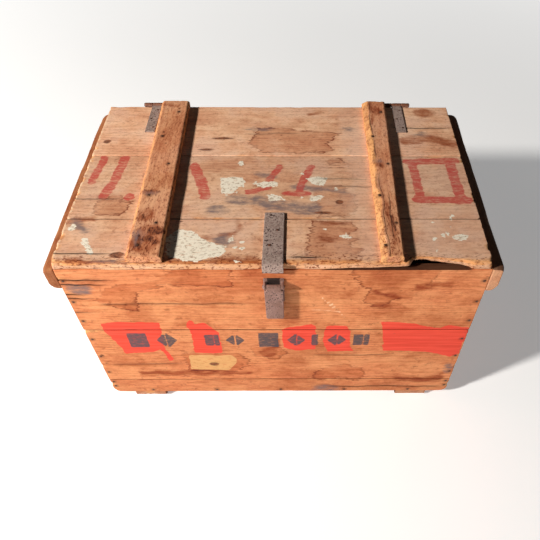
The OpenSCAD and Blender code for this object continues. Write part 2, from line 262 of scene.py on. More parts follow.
@dataclass
class Plank:
    """One board: how its grain runs, how worn it is and what has happened to it.

    out is the axis and side of its outer face. step, radius, chips and both reliefs are in millimetres. pith
    is where the middle of the tree lies, across the board and behind its face, in metres.
    """

    node: str
    grain: int = X
    out: tuple = (Y, LOW)
    seed: int = 1
    step: tuple = (6.0, 3.5)
    radius: float = 1.6
    chips: float = 3.0
    end_chips: float = 1.0
    relief: float = 0.2
    side_relief: float = 0.6
    age: float = 0.0
    tone: float = 0.5
    grime: float = 0.0
    pith: tuple = (0.02, 0.07)
    seams: tuple = (LOW, HIGH)
    seam_dirt: float = 0.65
    cracks: tuple = ()
    marks: dict = field(default_factory=dict)

    def __post_init__(self):
        self.across = ({X, Y, Z} - {self.grain, self.out[0]}).pop()
        self.low, self.high = (np.array(corner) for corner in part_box(self.node))

    # A kind of board with a shape or looks of its own has its own version of some of the next six.

    def place(self, points):
        """Moves points from the board's box on to its outline."""
        return points

    def bend(self, points, rest):
        """Shapes the board further. rest is where its points were on the box."""

    def softer(self, rest):
        """Extra rounding of the edges, in millimetres."""
        return 0

    def torn(self, rest):
        """How rough and pitted the wood is, from 0 to 1."""
        return 0.15

    def fresh(self, rest):
        """How fresh the broken wood is, from 0 to 1."""
        return 0

    def soiled(self, rest, sides):
        """How dark its painted shade is, from 0 to 1."""
        return 0

    def stretched(self, along, across):
        """Feature sizes for noise that runs along the grain, from millimetres."""
        size = np.full(3, across * MM)
        size[self.grain] = along * MM
        return size

    def places(self):
        """The lattice places on each axis."""
        places = [None, None, None]
        shares = (-1, -0.4, 0, 0.4, 1)
        in_cracks = [crack.place + share * crack.width for crack in self.cracks for share in shares]
        spacing = {self.grain: self.step[0], self.across: self.step[1], self.out[0]: 4}
        for axis, step in spacing.items():
            extra = in_cracks if axis == self.across else ()
            places[axis] = ticks(self.low[axis], self.high[axis], step * MM, extra)
        return places

    def faces_out(self, sides):
        return sides[:, self.out[0]] == self.out[1]

    def crack_reach(self, points, crack):
        """1 along a crack, falling to 0 at its ends."""
        along = points[:, self.grain]
        begun = smooth_ramp(along, crack.start - 1 * MM, crack.start + 30 * MM)
        return begun * (1 - smooth_ramp(along, crack.end - 60 * MM, crack.end))

    def crack_opening(self, points, sides, crack):
        """1 in the bottom of a crack and 0 on the whole wood beside it."""
        offset = np.abs(points[:, self.across] - crack.place)
        groove = np.clip((crack.width - offset) / (0.6 * crack.width), 0, 1)
        return np.where(self.faces_out(sides), groove, 0) * self.crack_reach(points, crack)

    def cut_crack(self, points, rest, sides, crack):
        """Sinks a crack into the outer face and lets it wander."""
        jitter = 0.75 + 0.25 * noise(rest, (0.02, 0.02, 0.02), 5)
        sunk = crack.depth * jitter * self.crack_opening(rest, sides, crack)
        points[:, self.out[0]] -= self.out[1] * sunk
        line = np.zeros_like(rest)
        line[:, 0] = rest[:, self.grain]
        line[:, 1] = crack.place
        wander = layered_noise(line, (0.055, 1, 1), 17) * 4.5 * MM
        points[:, self.across] += wander * np.exp(-((rest[:, self.across] - crack.place) / (11 * MM)) ** 2)

    def make(self, body):
        """Builds the board as a piece of a body."""
        rest, sides, faces = lattice_skin(self.places())
        gaps = np.minimum(rest - self.low, self.high - rest)
        thick = self.high[self.out[0]] - self.low[self.out[0]]

        # Worn arrises: a radius that wanders, with chips, and deeper chips near the ends of the grain.
        chip_size = self.stretched(45, 18)
        chip = np.maximum(0, layered_noise(rest, chip_size, self.seed + 3) - 0.12) / 0.5
        near_end = 1 - smooth_ramp(gaps[:, self.grain], 4 * MM, 30 * MM)
        wander = 1 + 0.45 * layered_noise(rest, chip_size * 2, self.seed + 4)
        radius = self.radius * wander + self.chips * chip * (1 + self.end_chips * near_end)
        radius += self.softer(rest)
        radius = np.clip(radius, 0.6, thick * 0.42 / MM) * MM
        points = rounded(rest, self.low, self.high, radius)
        edge = np.sort(gaps, axis=1)[:, 1]
        worn = smooth_ramp(radius / MM, self.radius * 1.25, self.radius * 1.25 + 3.5)
        worn *= 1 - smooth_ramp(edge, radius * 0.8, radius * 1.6 + 1 * MM)

        for crack in self.cracks:
            self.cut_crack(points, rest, sides, crack)

        # Grain relief: long low ridges on every face, cut into the wood and never added to it.
        fibre = self.stretched(160, 6.5)
        ridges = 0.5 + 0.5 * layered_noise(rest, fibre, self.seed + 11, 2)
        broad = 0.5 + 0.5 * layered_noise(rest, fibre * 6, self.seed + 12, 2)
        inward = -sides / np.maximum(np.linalg.norm(sides, axis=1, keepdims=True), 1)
        facing = sides[:, self.out[0]] != 0
        cut = np.where(facing, self.relief * (0.6 * ridges + 0.8 * broad), self.side_relief * ridges)
        points += inward * cut[:, None] * MM

        self.bend(points, rest)
        name, slot = self.node + "_wood", "lid_wood" if body == "lid" else "body_wood"
        fields = self.fields(rest, sides, worn)
        build_piece(name, self.place(points), faces.tolist(), body, WOOD, self.node, fields)

    def fields(self, rest, sides, worn):
        """The point fields that the wood material reads."""
        everywhere = np.ones(len(rest))
        placed = self.place(rest)
        spot = np.random.default_rng(self.seed).uniform(-1, 1, 4)
        middle = (self.low + self.high)[self.across] / 2
        outer = (self.high if self.out[1] > 0 else self.low)[self.out[0]]
        above = (rest[:, self.out[0]] - outer) * self.out[1]
        grain = np.column_stack([
            rest[:, self.grain] + 7 * spot[0] + 3.7 * self.seed,
            rest[:, self.across] - middle - self.pith[0] * (1 + 0.5 * spot[1]),
            above + self.pith[1] * (1 + 0.3 * spot[2]),
        ])
        dirt_and_shade = np.where(np.isin(sides[:, self.across], self.seams), self.seam_dirt, 0.0) + self.grime
        dirt_and_shade = np.maximum(dirt_and_shade, nail_stain(placed, self.low, self.high))
        # The bottom of each crack is painted dark as shade, darker the deeper the crack; beside it runs a
        # real stain.
        for crack in self.cracks:
            opening = min(0.97, crack.depth / (1.5 * MM)) * self.crack_opening(rest, sides, crack)
            beside = np.exp(-((rest[:, self.across] - crack.place) / (2.5 * crack.width)) ** 2)
            stained = 0.3 * beside * self.crack_reach(rest, crack) * self.faces_out(sides)
            dirt_and_shade = np.maximum(dirt_and_shade, np.maximum(opening, stained))
        fields = {
            "grain": grain,
            "worn": np.maximum(worn, np.where(sides[:, Z] == LOW, 0, self.fresh(rest))),
            "grime": np.maximum(dirt_and_shade, self.soiled(rest, sides)),
            "age": self.age * everywhere,
            "tone": self.tone * everywhere,
            "rough": self.torn(rest) * everywhere,
        }
        for number, (name, (face, ragged, shapes)) in enumerate(sorted(self.marks.items())):
            depth = mark_field(face(placed), shapes, ragged, self.seed + 100 * number)
            fields[name] = np.where(above > -4 * MM, depth, 0)
        return fields


# ---------------------------------------------------------------------------
# Nails: places come from the frame's nail solids
# ---------------------------------------------------------------------------

def islands(mesh):
    """The separate solids of a mesh, as lists of points."""
    parent = list(range(len(mesh.vertices)))

    def root(i):
        while parent[i] != i:
            parent[i] = parent[parent[i]]
            i = parent[i]
        return i

    # Points at one place belong together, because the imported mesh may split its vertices.
    seen = {}
    for v in mesh.vertices:
        key = tuple(round(c, 5) for c in v.co)
        if key in seen:
            parent[root(v.index)] = root(seen[key])
        seen[key] = v.index
    for e in mesh.edges:
        parent[root(e.vertices[0])] = root(e.vertices[1])
    groups = {}
    for v in mesh.vertices:
        groups.setdefault(root(v.index), []).append(tuple(v.co))
    return [np.array(g) for g in groups.values()]


def nail_of(solid):
    """A nail's head centre, the way its head faces and its length."""
    low, high = solid.min(axis=0), solid.max(axis=0)
    axis = int(np.argmax(high - low))
    middle = (low + high) / 2
    others = [a for a in (X, Y, Z) if a != axis]
    reach = np.linalg.norm(solid[:, others] - middle[others], axis=1)
    head = solid[reach > reach.max() * 0.9][:, axis].mean()
    facing = np.zeros(3)
    facing[axis] = 1 if head > middle[axis] else -1
    centre = middle.copy()
    centre[axis] = high[axis] if facing[axis] > 0 else low[axis]
    return centre, facing, high[axis] - low[axis]


NAILS = {
    node: [nail_of(solid) for solid in islands(mesh_object.data)]
    for node, mesh_object in sorted(frame["nodes"].items()) if node.endswith("nails")
}


def nail_stain(points, low, high):
    """Rust and soiling round the nail heads that lie on a board, from 0 to 1."""
    margin, spread, darkest = 6 * MM, 5.5 * MM, 0.85
    stain = np.zeros(len(points))
    for centre, _, _ in (nail for group in NAILS.values() for nail in group):
        if np.all(centre > low - margin) and np.all(centre < high + margin):
            reach = np.linalg.norm(points - centre, axis=1)
            stain = np.maximum(stain, darkest * np.exp(-(reach / spread) ** 2))
    return stain


# ---------------------------------------------------------------------------
# Materials
# ---------------------------------------------------------------------------

def rgb(*levels):
    """A colour given in the usual 0 to 255 numbers, as the renderer's linear values."""
    shares = [level / 255 for level in levels]
    return (*[c / 12.92 if c <= 0.04045 else ((c + 0.055) / 1.055) ** 2.4 for c in shares], 1.0)


class Value:
    """A number that a material works out. It takes part in ordinary sums."""

    def __init__(self, shader, socket):
        self.shader, self.socket = shader, socket

    def __add__(self, other):
        return self.shader.math("ADD", self, other)

    def __mul__(self, other):
        return self.shader.math("MULTIPLY", self, other)

    def __sub__(self, other):
        return self.shader.math("SUBTRACT", self, other)

    def __rsub__(self, other):
        return self.shader.math("SUBTRACT", other, self)

    __radd__ = __add__
    __rmul__ = __mul__


class Shader:
    """A short way to wire up one procedural material."""

    def __init__(self, name):
        self.material = bpy.data.materials.new(name)
        self.material.use_nodes = True
        self.tree = self.material.node_tree
        self.tree.nodes.clear()

    def add(self, kind, inputs=(), output=0, **settings):
        """Adds a node and gives back one of its outputs."""
        node = self.tree.nodes.new(kind)
        for key, value in settings.items():
            setattr(node, key, value)
        for key, value in dict(inputs).items():
            value = getattr(value, "socket", value)
            if isinstance(value, bpy.types.NodeSocket):
                self.tree.links.new(value, node.inputs[key])
            else:
                node.inputs[key].default_value = value
        return Value(self, node.outputs[output]) if node.outputs else None

    def field(self, name, output="Fac"):
        return self.add("ShaderNodeAttribute", output=output, attribute_name=name)

    def place(self):
        return self.add("ShaderNodeTexCoord", output="Object")

    def math(self, operation, a, b, clamp=False):
        return self.add("ShaderNodeMath", {0: a, 1: b}, operation=operation, use_clamp=clamp)

    def length(self, vector):
        return self.add("ShaderNodeVectorMath", {0: vector}, output=1, operation="LENGTH")

    def scaled(self, vector, scale):
        return self.add("ShaderNodeVectorMath", {0: vector, 1: scale}, operation="MULTIPLY")

    def noise(self, vector, scale=1.0, detail=2.0, roughness=0.5):
        inputs = {"Vector": vector, "Scale": scale, "Detail": detail, "Roughness": roughness}
        return self.add("ShaderNodeTexNoise", inputs, output="Fac")

    def ramp(self, value, low, high, start=0.0, end=1.0):
        """A smooth step of value from low to high, giving start to end."""
        inputs = {0: value, 1: low, 2: high, 3: start, 4: end}
        return self.add("ShaderNodeMapRange", inputs, interpolation_type="SMOOTHSTEP")

    def mix(self, share, a, b, blend="MIX"):
        return self.add("ShaderNodeMix", {0: share, 6: a, 7: b}, output=2, data_type="RGBA", blend_type=blend)

    def tint(self, share, colour, dye):
        """A colour with a share of a dye's darkness laid over it."""
        return self.mix(share, colour, dye, "MULTIPLY")

    def finish(self, colour, roughness, height, bump, distance, metallic=0.0, specular=0.5, glow=0.0):
        relief = self.add("ShaderNodeBump", {"Strength": bump, "Distance": distance, "Height": height})
        skin = self.add("ShaderNodeBsdfPrincipled", {
            "Base Color": colour, "Roughness": roughness, "Metallic": metallic,
            "Specular IOR Level": specular, "Normal": relief,
            "Emission Color": (1.0, 1.0, 1.0, 1.0), "Emission Strength": glow})
        self.add("ShaderNodeOutputMaterial", {"Surface": skin})
        return self.material


def weathered_wood():
    """Softwood boards: rings, fibres, stains, dirt, fresh wood at worn edges, and old paint."""
    s = Shader("weathered_wood")
    grain = s.field("grain", "Vector")
    place = s.place()
    age, tone, worn, grime, torn = (s.field(name) for name in ("age", "tone", "worn", "grime", "rough"))

    def grained(along, across, detail=2.0, roughness=0.5):
        """Noise with its own fineness along the grain and across it."""
        return s.noise(s.scaled(grain, (along, across, across)), 1.0, detail, roughness)

    # Growth rings about the pith, bent by slow noise so that flat faces show arches.
    ring = s.length(s.scaled(grain, (0.0, 1.0, 1.0))) + 0.055 * grained(2, 7) + 0.006 * grained(9, 60)
    phase = s.math("FRACT", 120.0 * ring, 0.0)
    late = s.ramp(phase, 0.3, 0.92) * s.ramp(phase, 1.0, 0.93)
    streak = grained(7, 150, 3, 0.62)
    fibre = grained(30, 620, 2, 0.6)
    cloud = grained(5, 14, 4, 0.62)
    mottle = grained(26, 60, 4, 0.68)
    soil = s.noise(place, 8.0, 5, 0.62)
    spots = s.noise(place, 55.0, 3, 0.6)

    figure = s.ramp(0.16 * late + 0.4 * streak + 0.3 * fibre + 0.3 * mottle, 0.36, 0.84)
    warm = s.mix(figure, rgb(234, 156, 102), rgb(210, 128, 78))
    warm = s.mix(s.ramp(cloud, 0.38, 0.66), warm, s.mix(figure, rgb(232, 146, 94), rgb(202, 116, 70)))
    aged = s.mix(figure, rgb(246, 202, 164), rgb(222, 176, 140))
    aged = s.mix(s.ramp(cloud, 0.36, 0.66), aged, s.mix(figure, rgb(238, 186, 148), rgb(206, 152, 120)))
    wood = s.mix(age, warm, aged)
    patches = s.ramp(age, 0.0, 0.9, 0.6, 0.4)
    wood = s.tint(s.ramp(mottle, 0.44, 0.72) * (0.8 * patches), wood, rgb(210, 162, 138))
    wood = s.tint(s.ramp(soil, 0.44, 0.66) * patches, wood, rgb(204, 166, 146))
    wood = s.tint(s.ramp(spots, 0.58, 0.76, 0.0, 0.5), wood, rgb(160, 112, 92))
    wood = s.mix(age * s.ramp(soil, 0.54, 0.36, 0.0, 0.3), wood, rgb(214, 184, 168))
    brightness = s.ramp(tone, 0.0, 1.0, 0.72, 1.28)
    wood = s.add("ShaderNodeVectorMath", {0: wood, 3: brightness}, operation="SCALE")

    # Fresh orange wood where the arrises have broken away.
    fresh = s.mix(streak, rgb(250, 192, 128), rgb(214, 136, 82))
    fresh = s.mix(s.ramp(spots, 0.46, 0.66, 0.0, 0.75), fresh, rgb(178, 112, 74))
    wood = s.mix(worn * s.ramp(mottle, 0.3, 0.5, 0.5, 1.0), wood, fresh)

    # Torn, pitted wood: bright splinters and dark pits a few millimetres across.
    grit = grained(110, 210, 3, 0.72)
    wood = s.mix(torn * s.ramp(grit, 0.45, 0.34, 0.0, 0.6), wood, rgb(236, 178, 128))
    wood = s.tint(torn * s.ramp(grit, 0.52, 0.64), wood, rgb(158, 112, 92))

    def inside(name):
        """How far inside a mark's edge a point lies, in metres."""
        return s.field(name) - MARK_EDGE * MM

    def mask(name, ragged, soft, along=30, across=130):
        """1 inside a mark and 0 outside it, with an edge that frays along the grain."""
        fray = grained(along, across, 4, 0.7) - 0.5
        return s.ramp(inside(name) + 2 * ragged * MM * fray, -soft * MM, soft * MM)

    # Stains: a faint tint with a darker rim that is sharp outside and soft inside, as dried water leaves.
    tide = inside("tide") + 24 * MM * (mottle - 0.5) + 36 * MM * (streak - 0.5)
    rim = s.ramp(tide, -1.2 * MM, 0.8 * MM) * s.ramp(tide, 7 * MM, 0.5 * MM)
    wood = s.tint(s.ramp(tide, 0.0, 6 * MM, 0.0, 0.5), wood, rgb(226, 196, 178))
    wood = s.tint(rim * s.ramp(soil, 0.36, 0.58, 0.12, 0.95), wood, rgb(150, 100, 80))
    wood = s.mix(0.22 * mask("bleach", 14, 12), wood, rgb(232, 196, 172))
    wood = s.tint(mask("stain", 12, 7) * s.ramp(mottle, 0.25, 0.6, 0.45, 1.0), wood, rgb(192, 152, 132))
    wood = s.mix(mask("smudge", 14, 8) * s.ramp(mottle, 0.32, 0.6, 0.3, 0.85), wood, rgb(118, 104, 104))

    # Knots and paint. Paint is thin on the ridges of the grain.
    patchy = grained(60, 230, 4, 0.7)
    paper = s.mix(mottle, rgb(238, 190, 126), rgb(214, 156, 96))
    wood = s.mix(mask("label", 5, 1.0) * s.ramp(patchy, 0.66, 0.5, 0.35, 0.9), wood, paper)
    knot = s.mix(s.ramp(grit, 0.42, 0.6), rgb(142, 78, 48), rgb(72, 36, 28))
    wood = s.mix(0.88 * mask("knot", 4, 1.8), wood, knot)
    red = mask("red", 4, 0.7, 70, 110) * s.ramp(patchy, 0.8, 0.62, 0.4, 1.0)
    wood = s.mix(red, wood, s.mix(s.ramp(streak, 0.3, 0.7), rgb(246, 82, 58), rgb(228, 68, 48)))
    slate = mask("slate", 2, 0.6) * s.ramp(patchy, 0.72, 0.5, 0.3, 0.92)
    wood = s.mix(slate, wood, rgb(76, 74, 80))
    faded = mask("faded_red", 6, 1.6, 60, 130) * s.ramp(patchy, 0.7, 0.42, 0.3, 0.85)
    wood = s.mix(faded, wood, rgb(196, 66, 60))
    white = mask("white", 8, 0.6, 90, 120) * s.ramp(patchy, 0.66, 0.58, 0.35, 1.0)
    wood = s.mix(white, wood, s.mix(s.ramp(grit, 0.5, 0.66), rgb(248, 236, 214), rgb(190, 168, 142)))
    wood = s.mix(mask("scratch", 3, 1.2) * s.ramp(fibre, 0.3, 0.55, 0.4, 0.85), wood, rgb(252, 216, 176))

    # Dirt in the pores, in the joints and round the nails; the same near black also paints shade in the
    # bottoms of the cracks, on the wall's top under the broken lid edge, on the right cleat's top and under
    # the lid.
    wood = s.mix(0.4 * s.ramp(grained(120, 300), 0.7, 0.78), wood, rgb(120, 74, 54))
    wood = s.mix(s.math("MINIMUM", grime, 0.97), wood, rgb(22, 13, 10))

    paint = s.math("MAXIMUM", red, white, clamp=True)
    height = -0.5 * streak + -0.5 * fibre + 0.5 * mottle
    height = height * (1.0 - 0.4 * paint) + 0.3 * paint
    roughness = s.ramp(streak, 0.3, 0.7, 0.7, 0.88) - 0.2 * paint
    return s.finish(wood, roughness, height, 0.32, 0.6 * MM, specular=0.2)


def old_iron():
    """Wrought iron: pits, rust in the hollows and a dull grey-brown skin."""
    s = Shader("old_iron")
    place = s.place()
    broad = s.noise(place, 26.0, 4, 0.6)
    fine = s.noise(place, 240.0, 3, 0.65)
    grit = s.noise(place, 800.0, 2, 0.6)
    cells = s.add("ShaderNodeTexVoronoi", {"Vector": place, "Scale": 150.0}, output="Distance")
    pits = s.ramp(cells + 0.5 * broad, 0.36, 0.6)
    small_pits = s.ramp(s.noise(place, 380.0, 2, 0.5), 0.3, 0.42)
    skin = s.mix(s.ramp(fine, 0.35, 0.68), rgb(148, 116, 108), rgb(184, 148, 138))
    skin = s.mix(s.ramp(broad, 0.42, 0.7, 0.0, 0.8), skin, rgb(132, 98, 86))
    skin = s.mix(s.ramp(grit, 0.55, 0.72, 0.0, 0.5), skin, rgb(176, 158, 150))
    skin = s.mix(s.field("worn") * s.ramp(fine, 0.35, 0.6, 0.2, 0.7), skin, rgb(188, 170, 156))
    skin = s.mix(s.field("rust"), skin, s.mix(fine, rgb(150, 92, 60), rgb(104, 62, 44)))
    skin = s.mix(s.ramp(pits, 1.0, 0.0, 0.0, 0.9), skin, rgb(58, 38, 34))
    skin = s.mix(s.ramp(small_pits, 1.0, 0.0, 0.0, 0.7), skin, rgb(70, 48, 42))
    # Near black between the hasp's ears: painted shade above the flap.
    skin = s.mix(s.field("grime"), skin, rgb(24, 16, 14))
    height = 0.7 * pits + 0.4 * small_pits + 0.5 * fine
    return s.finish(skin, s.ramp(fine, 0.3, 0.7, 0.5, 0.75), height, 0.7, 0.5 * MM, metallic=0.2)


def nail_iron():
    """Nail heads: dark, rusted and rough."""
    s = Shader("nail_iron")
    place = s.place()
    blotch = s.noise(place, 300.0, 3, 0.6)
    grain = s.noise(place, 1100.0, 2, 0.6)
    skin = s.mix(s.ramp(blotch, 0.38, 0.64), rgb(58, 42, 36), rgb(112, 66, 42))
    skin = s.mix(s.ramp(grain, 0.55, 0.75, 0.0, 0.6), skin, rgb(140, 118, 104))
    return s.finish(skin, s.ramp(blotch, 0.3, 0.7, 0.55, 0.85), grain, 0.7, 0.4 * MM, metallic=0.3)


WOOD, IRON, NAIL = weathered_wood(), old_iron(), nail_iron()


# ---------------------------------------------------------------------------
# Faces and their marks
# ---------------------------------------------------------------------------

FRONT_LOW, FRONT_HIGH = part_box("front_board_upper")
LID_LOW, LID_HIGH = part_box("lid_board_back")
ROWS = ("lower", "middle", "upper")


def face_of(across, start, down, top):
    """A face's own frame: millimetres along one axis from a start, and down another from its top."""
    def face(points):
        return np.column_stack([np.abs(points[:, across] - start), top - points[:, down]]) / MM
    return face


def marks_on(face, **kinds):
    """The marks on one face: for each kind, how far its edges wander and then its shapes."""
    return {kind: (face, ragged, shapes) for kind, (ragged, *shapes) in kinds.items()}


def stencil_blocks(middle, *blocks):
    """A row of plain stencilled squares and diamonds, each (start, width, height) and split by a bridge."""
    shapes = []
    for count, (left, width, height) in enumerate(blocks):
        centre, right = left + width / 2, left + width
        top, bottom = middle - height / 2, middle + height / 2
        if count % 2:
            shapes.append(patch((left, middle), (centre - 2, top), (centre - 2, bottom)))
            shapes.append(patch((centre + 2, top), (right, middle), (centre + 2, bottom)))
        else:
            shapes.append(bar(left, top, width * 0.62, height))
            shapes.append(bar(left + width * 0.62 + 4, top, width * 0.38 - 4, height))
    return shapes


FRONT_MARKS = marks_on(
    face_of(X, FRONT_LOW.x, Z, FRONT_HIGH.z),
    red=(
        3.5,
        patch((50, 194), (92, 188), (192, 190), (190, 232), (184, 300), (150, 318), (78, 326), (66, 270),
              (48, 225)),
        stroke(13, (176, 296), (186, 332), (191, 358)),
        patch((256, 196), (262, 180), (272, 186), (276, 198), (300, 190), (312, 206), (330, 232), (332, 325),
              (258, 325), (262, 250)),
        patch((502, 210), (560, 199), (572, 206), (574, 308), (520, 314), (490, 300), (488, 224)),
        patch((598, 206), (650, 206), (658, 232), (664, 300), (672, 316), (604, 320), (590, 270)),
        patch((730, 188), (790, 192), (880, 216), (896, 204), (951, 214), (951, 330), (930, 346), (868, 322),
              (748, 314), (742, 240))),
    slate=(
        1.2,
        *stencil_blocks(266, (100, 48, 62), (170, 52, 66), (292, 36, 48), (344, 50, 52), (428, 50, 62),
                        (500, 46, 54), (562, 22, 48), (602, 48, 54), (668, 40, 48))),
    label=(2.0, patch((240, 334), (352, 336), (366, 352), (362, 376), (346, 396), (340, 410), (238, 404))),
    knot=(1.0, blot(302, 378, 13, 9), blot(14, 333, 5, 4), blot(16, 372, 4, 4)),
    tide=(
        7.0,
        patch((150, 150), (166, 74), (236, 52), (330, 56), (384, 62), (384, -30), (310, -30), (212, 30),
              (96, 60), (60, 110)),
        patch((640, -20), (662, 46), (690, 70), (676, 108), (716, 136), (760, 96), (806, 90), (838, 30),
              (850, -20)),
        patch((566, 440), (600, 388), (660, 380), (700, 402), (716, 436), (690, 470), (640, 450), (590, 470)),
        patch((228, 318), (366, 324), (400, 352), (392, 392), (352, 416), (226, 412)),
        patch((404, 300), (480, 292), (500, 330), (470, 352), (416, 344))),
    stain=(
        8.0,
        patch((90, 414), (250, 408), (400, 420), (396, 436), (240, 438), (96, 432)),
        stroke(14, (704, 74), (760, 96)), stroke(18, (800, 60), (866, 50)), blot(730, 128, 26, 12),
        blot(452, 320, 22, 26), stroke(16, (470, 262), (474, 300)),
        patch((790, 440), (880, 452), (930, 430), (934, 470), (850, 478), (796, 462))),
    smudge=(6.0, blot(606, 512, 34, 20), blot(34, 66, 26, 18), blot(938, 400, 10, 20)),
    scratch=(0.6, stroke(2.6, (584, 96), (612, 138)), stroke(2.2, (560, 140), (630, 150)),
             stroke(2.2, (604, 112), (640, 170))),
)

BACK_MARKS = marks_on(
    face_of(X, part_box("back_board_upper")[1].x, Z, FRONT_HIGH.z),
    tide=(9.0, patch((90, 300), (150, 230), (260, 250), (330, 320), (300, 420), (180, 440), (110, 390)),
          patch((560, -20), (600, 80), (700, 110), (800, 70), (840, -20))),
    stain=(8.0, stroke(14, (380, 200), (520, 210), (640, 196)), blot(760, 330, 60, 26),
           stroke(24, (60, 505), (420, 512), (900, 500))),
    smudge=(8.0, blot(240, 120, 44, 22), blot(700, 440, 50, 24)),
    knot=(1.0, blot(430, 90, 12, 7), blot(210, 350, 10, 8), blot(660, 290, 13, 7), blot(820, 160, 7, 6),
          blot(500, 480, 9, 6)),
    bleach=(9.0, patch((420, 240), (560, 250), (580, 400), (440, 410))),
)

END_MARKS = marks_on(
    face_of(Y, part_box("left_end_board_upper")[1].y, Z, FRONT_HIGH.z),
    tide=(9.0, patch((80, 120), (180, 100), (240, 160), (220, 250), (120, 270), (60, 200)),
          patch((330, 525), (360, 440), (470, 420), (540, 470), (560, 525))),
    stain=(8.0, stroke(22, (20, 84), (280, 92), (560, 82)), blot(410, 260, 40, 20),
           stroke(20, (20, 508), (540, 512))),
    smudge=(8.0, blot(300, 360, 40, 22), blot(470, 150, 30, 16)),
    knot=(1.0, blot(150, 330, 10, 7), blot(430, 200, 11, 6), blot(300, 470, 8, 6)),
    bleach=(9.0, patch((240, 280), (420, 290), (400, 400), (260, 390))),
)

LID_FACE = face_of(X, LID_LOW.x, Y, LID_HIGH.y)
END_NICKS = [
    stroke(3.6, (2.5, 14 + 17.5 * k + 4 * (k % 3)), (3.5 + k % 2, 20 + 17.5 * k + 5 * (k % 4)))
    for k in range(32)
]
FRONT_NICKS = [
    stroke(3.5 + k % 3, (14 + 23 * k, 584 + 3 * (k % 4)), (30 + 23 * k + 6 * (k % 3), 600))
    for k in range(22)
]
LID_MARKS = marks_on(
    LID_FACE,
    faded_red=(
        3.0,
        stroke(24, (88, 238), (80, 330), (66, 384)), blot(129, 386, 13, 12), stroke(20, (36, 236), (26, 330)),
        stroke(26, (268, 268), (292, 330), (308, 384)),
        stroke(19, (482, 272), (458, 322)), stroke(18, (410, 366), (456, 352)),
        stroke(19, (562, 270), (540, 330), (530, 372)), stroke(17, (498, 374), (552, 374)),
        stroke(24, (806, 250), (930, 246)), stroke(24, (812, 394), (934, 398)),
        stroke(26, (914, 256), (918, 392)), stroke(22, (818, 258), (822, 388))),
    white=(
        4.5,
        patch((338, 314), (392, 312), (400, 344), (384, 352), (372, 372), (346, 372), (340, 344)),
        patch((420, 336), (452, 328), (480, 334), (478, 352), (444, 350)),
        patch((452, 376), (476, 380), (502, 396), (462, 400)),
        patch((546, 318), (576, 312), (602, 316), (590, 346), (566, 338)),
        patch((556, 388), (584, 378), (594, 386), (572, 402), (556, 400)),
        patch((232, 520), (262, 498), (292, 502), (322, 528), (350, 544), (374, 564), (362, 582), (318, 592),
              (284, 592), (250, 580)),
        blot(386, 258, 7, 11), stroke(13, (58, 530), (78, 566)), blot(20, 492, 7, 12), blot(892, 522, 18, 11),
        *flecks(501, 14, (340, 280), (620, 400)), *flecks(502, 9, (350, 520), (420, 600)),
        *flecks(503, 10, (800, 440), (890, 575)), *flecks(504, 6, (590, 495), (650, 525))),
    bleach=(
        9.0,
        patch((640, -10), (704, -10), (700, 610), (664, 606), (668, 480), (650, 420), (660, 340), (640, 200)),
        patch((330, 470), (440, 470), (440, 500), (400, 520), (330, 500)),
        patch((806, 420), (950, 410), (950, 590), (820, 590))),
    tide=(
        9.0,
        patch((420, 100), (560, 116), (640, 128), (618, 160), (600, 180), (622, 200), (590, 216), (440, 214),
              (400, 180)),
        patch((600, 246), (640, 236), (650, 254), (616, 262), (636, 272), (604, 270)),
        patch((560, 330), (640, 344), (660, 380), (668, 424), (644, 456), (576, 458), (570, 400)),
        patch((560, 470), (650, 474), (662, 500), (640, 512), (668, 530), (646, 544), (670, 560), (650, 574),
              (672, 592), (600, 610), (540, 600)),
        patch((110, 380), (140, 404), (130, 436), (112, 450), (60, 452), (50, 400))),
    stain=(
        6.0,
        stroke(11, (392, 468), (398, 492), (384, 510), (356, 514)),
        blot(322, 522, 10, 6), blot(608, 478, 22, 5), blot(592, 526, 20, 14),
        stroke(30, (220, 596), (330, 604), (430, 590)), stroke(18, (40, 590), (160, 604)),
        stroke(34, (812, 160), (880, 150), (936, 172)), stroke(14, (8, 470), (60, 462)),
        stroke(10, (560, 40), (590, 24)), blot(880, 30, 30, 22), *FRONT_NICKS),
    smudge=(
        8.0,
        blot(388, 398, 30, 20), blot(340, 432, 24, 17), stroke(34, (430, 396), (500, 422), (566, 428)),
        stroke(16, (520, 350), (640, 366)), stroke(12, (430, 300), (470, 312)),
        blot(858, 130, 16, 9), blot(420, 108, 26, 8), blot(664, 108, 16, 8),
        blot(130, 596, 34, 8), blot(365, 535, 20, 18), stroke(18, (20, 470), (50, 500))),
    knot=(
        1.0,
        blot(27, 165, 10, 8), blot(330, 150, 28, 5), blot(290, 200, 21, 4), blot(590, 441, 20, 4.5),
        blot(627, 404, 9, 8), blot(138, 574, 15, 9), blot(262, 470, 5, 3)),
    scratch=(1.5, *END_NICKS),
)

LEFT_BATTEN_MARKS = marks_on(
    LID_FACE,
    stain=(5.0, blot(204, 520, 32, 22), blot(196, 556, 34, 30), blot(186, 470, 20, 24), blot(184, 388, 18, 8),
           stroke(9, (158, 20), (196, 26))),
    knot=(3.0, blot(218, 520, 19, 12), blot(204, 546, 13, 9), blot(222, 556, 9, 7), blot(182, 476, 5, 10),
          stroke(7, (184, 536), (190, 572)), stroke(4, (168, 384), (206, 390)), blot(176, 150, 3, 6),
          blot(188, 200, 4, 3), blot(200, 40, 3, 4)),
    smudge=(4.0, blot(182, 540, 12, 22), blot(184, 394, 12, 5)),
)

